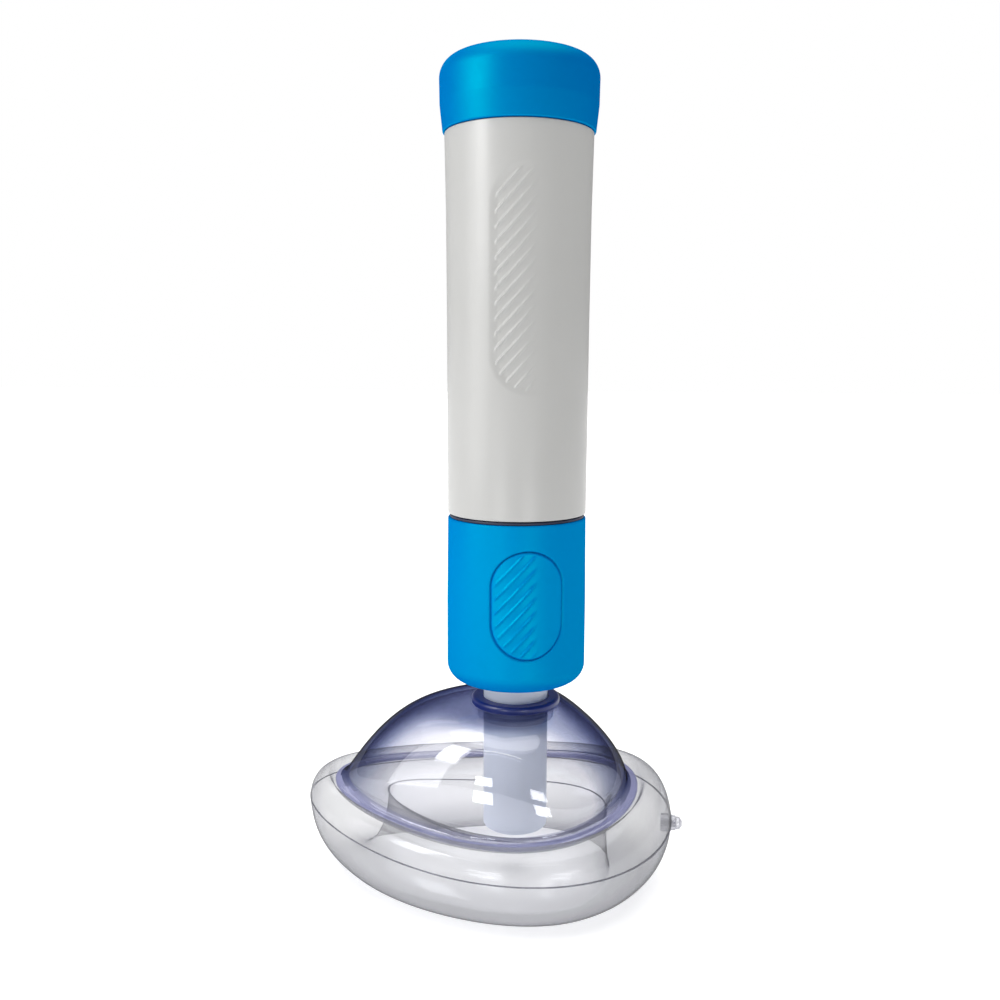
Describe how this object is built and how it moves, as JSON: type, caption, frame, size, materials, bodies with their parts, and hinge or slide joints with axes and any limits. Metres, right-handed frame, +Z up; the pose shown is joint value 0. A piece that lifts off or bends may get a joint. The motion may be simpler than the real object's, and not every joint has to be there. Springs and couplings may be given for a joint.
{
  "type": "airway suction pump with face mask",
  "caption": "Hand-pulled cylindrical airway suction pump standing on a clear domed face mask with an inflated air cushion and a short airway tube.",
  "frame": {"origin": "on the floor under the middle of the mask's outline, valve plug included", "axes": "+Z up along the pump, +X from the nose end to the chin end of the mask, +Y across the mask"},
  "size_m": [0.1302, 0.1032, 0.273],
  "materials": {
    "blue_cap": "satin moulded plastic",
    "blue_housing": "satin moulded plastic",
    "blue_pad": "ribbed satin plastic",
    "grey_sleeve": "satin moulded plastic",
    "clear_dome": "clear tinted polycarbonate, polished",
    "neck_blue": "dark blue translucent plastic",
    "clear_cushion": "clear soft PVC film, glossy",
    "clear_valve": "clear soft PVC",
    "frosted_tube": "frosted translucent polypropylene",
    "inner_white": "natural white nylon and acetal",
    "clear_cylinder": "clear cylinder tube",
    "valve_silicone": "translucent silicone",
    "seal_rubber": "black nitrile rubber",
    "gasket_navy": "dark navy elastomer",
    "rod_aluminium": "drawn, clear anodised",
    "fastener_steel": "zinc-plated"
  },
  "bodies": {
    "mask": {"mask_cushion": "clear_cushion", "mask_dome": "clear_dome", "neck_ring": "neck_blue", "inflation_valve": "clear_valve"},
    "plug": {"inflation_plug": "clear_valve"},
    "airway": {"airway_tube": "frosted_tube"},
    "pump": {"lower_housing": "blue_housing", "thumb_pad_front": "blue_pad", "thumb_pad_back": "blue_pad", "nozzle_plate": "inner_white", "tube_seal": "seal_rubber", "cylinder_base": "inner_white", "base_screws": "fastener_steel", "cylinder_seal": "seal_rubber", "pump_cylinder": "clear_cylinder", "inlet_valve_cage": "inner_white", "cylinder_head": "inner_white", "head_screws": "fastener_steel", "rod_bush": "inner_white", "rod_wiper": "seal_rubber", "joint_gasket": "gasket_navy"},
    "inlet_valve": {"inlet_flap": "valve_silicone"},
    "handle": {"grip_sleeve": "grey_sleeve", "top_cap": "blue_cap", "rod_pin": "fastener_steel", "sleeve_guide_ring": "inner_white", "piston_rod": "rod_aluminium", "piston_crown": "inner_white", "piston_lip_seal": "seal_rubber", "piston_guide_band": "inner_white", "piston_nut": "fastener_steel", "exhaust_valve_stop": "inner_white", "stroke_spacer": "inner_white", "stop_bumper": "seal_rubber"},
    "exhaust_valve": {"exhaust_flap": "valve_silicone"}
  },
  "joints": [
    {"name": "pump_lift", "type": "slide", "parent": "mask", "child": "airway", "axis": [0, 0, 1], "range_m": [0, 0.046]},
    {"name": "pump_swivel", "type": "hinge", "parent": "airway", "child": "pump", "pos_m": [0.0074, 0, 0.074], "axis": [0, 0, 1], "continuous": true},
    {"name": "handle_stroke", "type": "slide", "parent": "pump", "child": "handle", "axis": [0, 0, 1], "range_m": [0, 0.095]},
    {"name": "inlet_valve_lift", "type": "slide", "parent": "pump", "child": "inlet_valve", "axis": [0, 0, 1], "range_m": [0, 0.0015]},
    {"name": "exhaust_valve_lift", "type": "slide", "parent": "handle", "child": "exhaust_valve", "axis": [0, 0, 1], "range_m": [0, 0.0015]},
    {"name": "plug_pull", "type": "slide", "parent": "mask", "child": "plug", "axis": [1, 0, 0], "range_m": [0, 0.005]}
  ]
}
